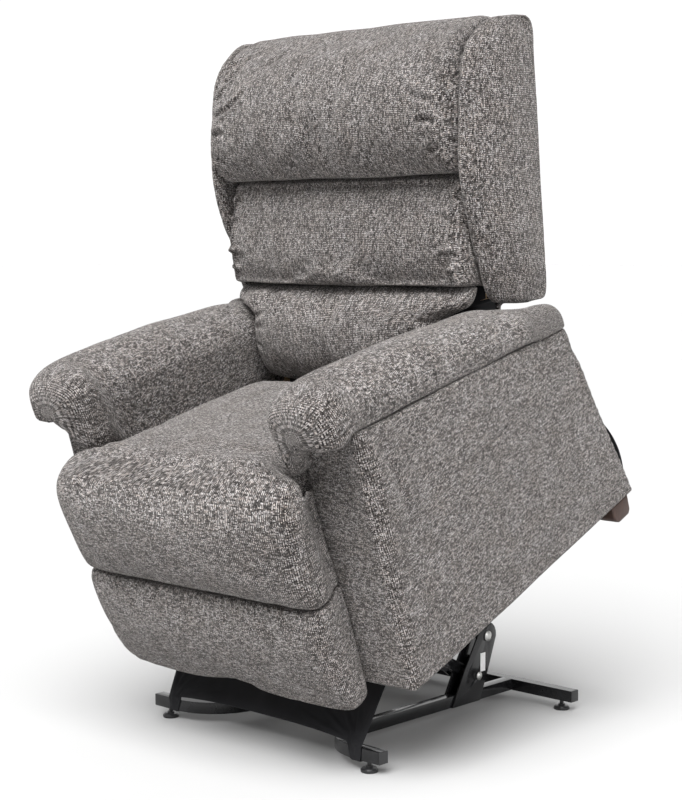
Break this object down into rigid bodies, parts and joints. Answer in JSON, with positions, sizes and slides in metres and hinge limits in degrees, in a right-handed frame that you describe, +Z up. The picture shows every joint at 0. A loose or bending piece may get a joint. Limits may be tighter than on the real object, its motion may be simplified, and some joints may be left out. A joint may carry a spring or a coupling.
{
  "type": "lift recliner chair",
  "caption": "Upholstered recliner on a steel tube base whose seat unit lifts and tips forward, with a winged three-pillow back, padded arms and a padded swing-out footrest.",
  "frame": {"origin": "floor plane, under the middle of the chair's overall box in the raised pose", "axes": "+Z up, the sitter faces -Y, +X is the sitter's left; the chair stands in its raised pose"},
  "size_m": [0.8798, 0.988, 1.4826],
  "materials": {
    "black_gloss_paint": "gloss black paint",
    "zinc_plate": "zinc plated",
    "black_plastic": "satin",
    "foot_plastic": "matt",
    "label_film": "matt white film",
    "tweed_upholstery": "heathered grey-brown woven chenille",
    "black_cloth": "thin black non-woven cloth",
    "plywood": "raw",
    "stained_wood": "dark stain",
    "spring_steel": "bare",
    "motor_case": "textured",
    "ram_alloy": "anodised",
    "rod_chrome": "polished"
  },
  "bodies": {
    "base": {"base_rail_left": "black_gloss_paint", "base_rail_right": "black_gloss_paint", "base_rear_tube": "black_gloss_paint", "end_cap_front_left": "black_plastic", "end_cap_front_right": "black_plastic", "end_cap_rear_left": "black_plastic", "end_cap_rear_right": "black_plastic", "levelling_foot_front_left": "foot_plastic", "levelling_foot_front_right": "foot_plastic", "levelling_foot_rear_left": "foot_plastic", "levelling_foot_rear_right": "foot_plastic", "tower_left": "black_gloss_paint", "tower_right": "black_gloss_paint", "rating_label": "label_film", "lift_bolt_left": "zinc_plate", "lift_bolt_right": "zinc_plate", "lower_bolt_left": "zinc_plate", "lower_bolt_right": "zinc_plate", "motor_clevis": "black_gloss_paint", "skirt": "black_cloth"},
    "lift_arms": {"lift_frame": "black_gloss_paint"},
    "lower_links": {"lower_link_left": "black_gloss_paint", "lower_link_right": "black_gloss_paint"},
    "lift_motor_unit": {"lift_motor": "motor_case", "lift_ram": "ram_alloy"},
    "lift_rod_unit": {"lift_rod": "rod_chrome"},
    "seat_unit": {"arm_box_left": "tweed_upholstery", "arm_box_right": "tweed_upholstery", "arm_pad_left": "tweed_upholstery", "arm_pad_right": "tweed_upholstery", "seat_cushion": "tweed_upholstery", "seat_frame": "plywood", "seat_spring_1": "spring_steel", "seat_spring_2": "spring_steel", "seat_spring_3": "spring_steel", "mech_frame": "black_gloss_paint", "wooden_foot_left": "stained_wood", "wooden_foot_right": "stained_wood", "rear_panel": "tweed_upholstery", "dust_cover": "black_cloth", "control_box": "black_plastic", "hinge_pin_left": "zinc_plate", "hinge_pin_right": "zinc_plate"},
    "backrest": {"back_frame": "plywood", "wing_left": "tweed_upholstery", "wing_right": "tweed_upholstery", "head_pillow": "tweed_upholstery", "mid_pillow": "tweed_upholstery", "lumbar_pillow": "tweed_upholstery", "back_cover": "tweed_upholstery"},
    "back_motor_unit": {"back_motor": "motor_case", "back_ram": "ram_alloy"},
    "back_rod_unit": {"back_rod": "rod_chrome"},
    "footrest": {"footrest_board": "plywood", "footrest_pad_upper": "tweed_upholstery", "footrest_pad_lower": "tweed_upholstery"},
    "swing_arms": {"swing_frame": "black_gloss_paint"},
    "push_links": {"push_link_left": "black_gloss_paint", "push_link_right": "black_gloss_paint"}
  },
  "joints": [
    {"name": "lift", "type": "hinge", "parent": "base", "child": "lift_arms", "pos_m": [0, 0.332, 0.162], "axis": [1, 0, 0], "range_deg": [0, 30.78], "deforming": ["skirt"]},
    {"name": "lower_link_swing", "type": "hinge", "parent": "base", "child": "lower_links", "pos_m": [0, 0.302, 0.078], "axis": [1, 0, 0], "range_deg": [0, 29.72]},
    {"name": "lift_motor_swing", "type": "hinge", "parent": "base", "child": "lift_motor_unit", "pos_m": [0, 0.392, 0.058], "axis": [1, 0, 0], "range_deg": [0, 22.6]},
    {"name": "lift_ram_slide", "type": "slide", "parent": "lift_motor_unit", "child": "lift_rod_unit", "axis": [0, -0.9054, 0.4246], "range_m": [-0.0448, 0]},
    {"name": "seat_tilt", "type": "hinge", "parent": "lift_arms", "child": "seat_unit", "pos_m": [0, -0.03853, 0.31268], "axis": [1, 0, 0], "range_deg": [-54.29, 0]},
    {"name": "recline", "type": "hinge", "parent": "seat_unit", "child": "backrest", "pos_m": [0, 0.10269, 0.68607], "axis": [-1, 0, 0], "range_deg": [0, 38]},
    {"name": "back_motor_swing", "type": "hinge", "parent": "seat_unit", "child": "back_motor_unit", "pos_m": [0, -0.08423, 0.48299], "axis": [-1, 0, 0], "range_deg": [0, 4.02]},
    {"name": "back_ram_slide", "type": "slide", "parent": "back_motor_unit", "child": "back_rod_unit", "axis": [0, 0.8321, 0.5546], "range_m": [-0.0493, 0]},
    {"name": "footrest", "type": "hinge", "parent": "seat_unit", "child": "footrest", "pos_m": [0, -0.48686, 0.5573], "axis": [-1, 0, 0], "range_deg": [0, 85]},
    {"name": "swing_arm_swing", "type": "hinge", "parent": "seat_unit", "child": "swing_arms", "pos_m": [0, -0.18917, 0.50464], "axis": [-1, 0, 0], "range_deg": [0, 85]},
    {"name": "push_link_swing", "type": "hinge", "parent": "footrest", "child": "push_links", "pos_m": [0, -0.3034, 0.37864], "axis": [1, 0, 0], "range_deg": [0, 85]}
  ],
  "couplings": [
    {"joint": "lower_link_swing", "follows": "lift", "ratio": 0.9653},
    {"joint": "lift_motor_swing", "follows": "lift", "ratio": 0.7336},
    {"joint": "lift_ram_slide", "follows": "lift", "m_per_rad": -0.08316},
    {"joint": "seat_tilt", "follows": "lift", "ratio": -1.7635},
    {"joint": "back_motor_swing", "follows": "recline", "ratio": 0.1055},
    {"joint": "back_ram_slide", "follows": "recline", "m_per_rad": -0.0742},
    {"joint": "swing_arm_swing", "follows": "footrest", "ratio": 1},
    {"joint": "push_link_swing", "follows": "footrest", "ratio": 1}
  ]
}
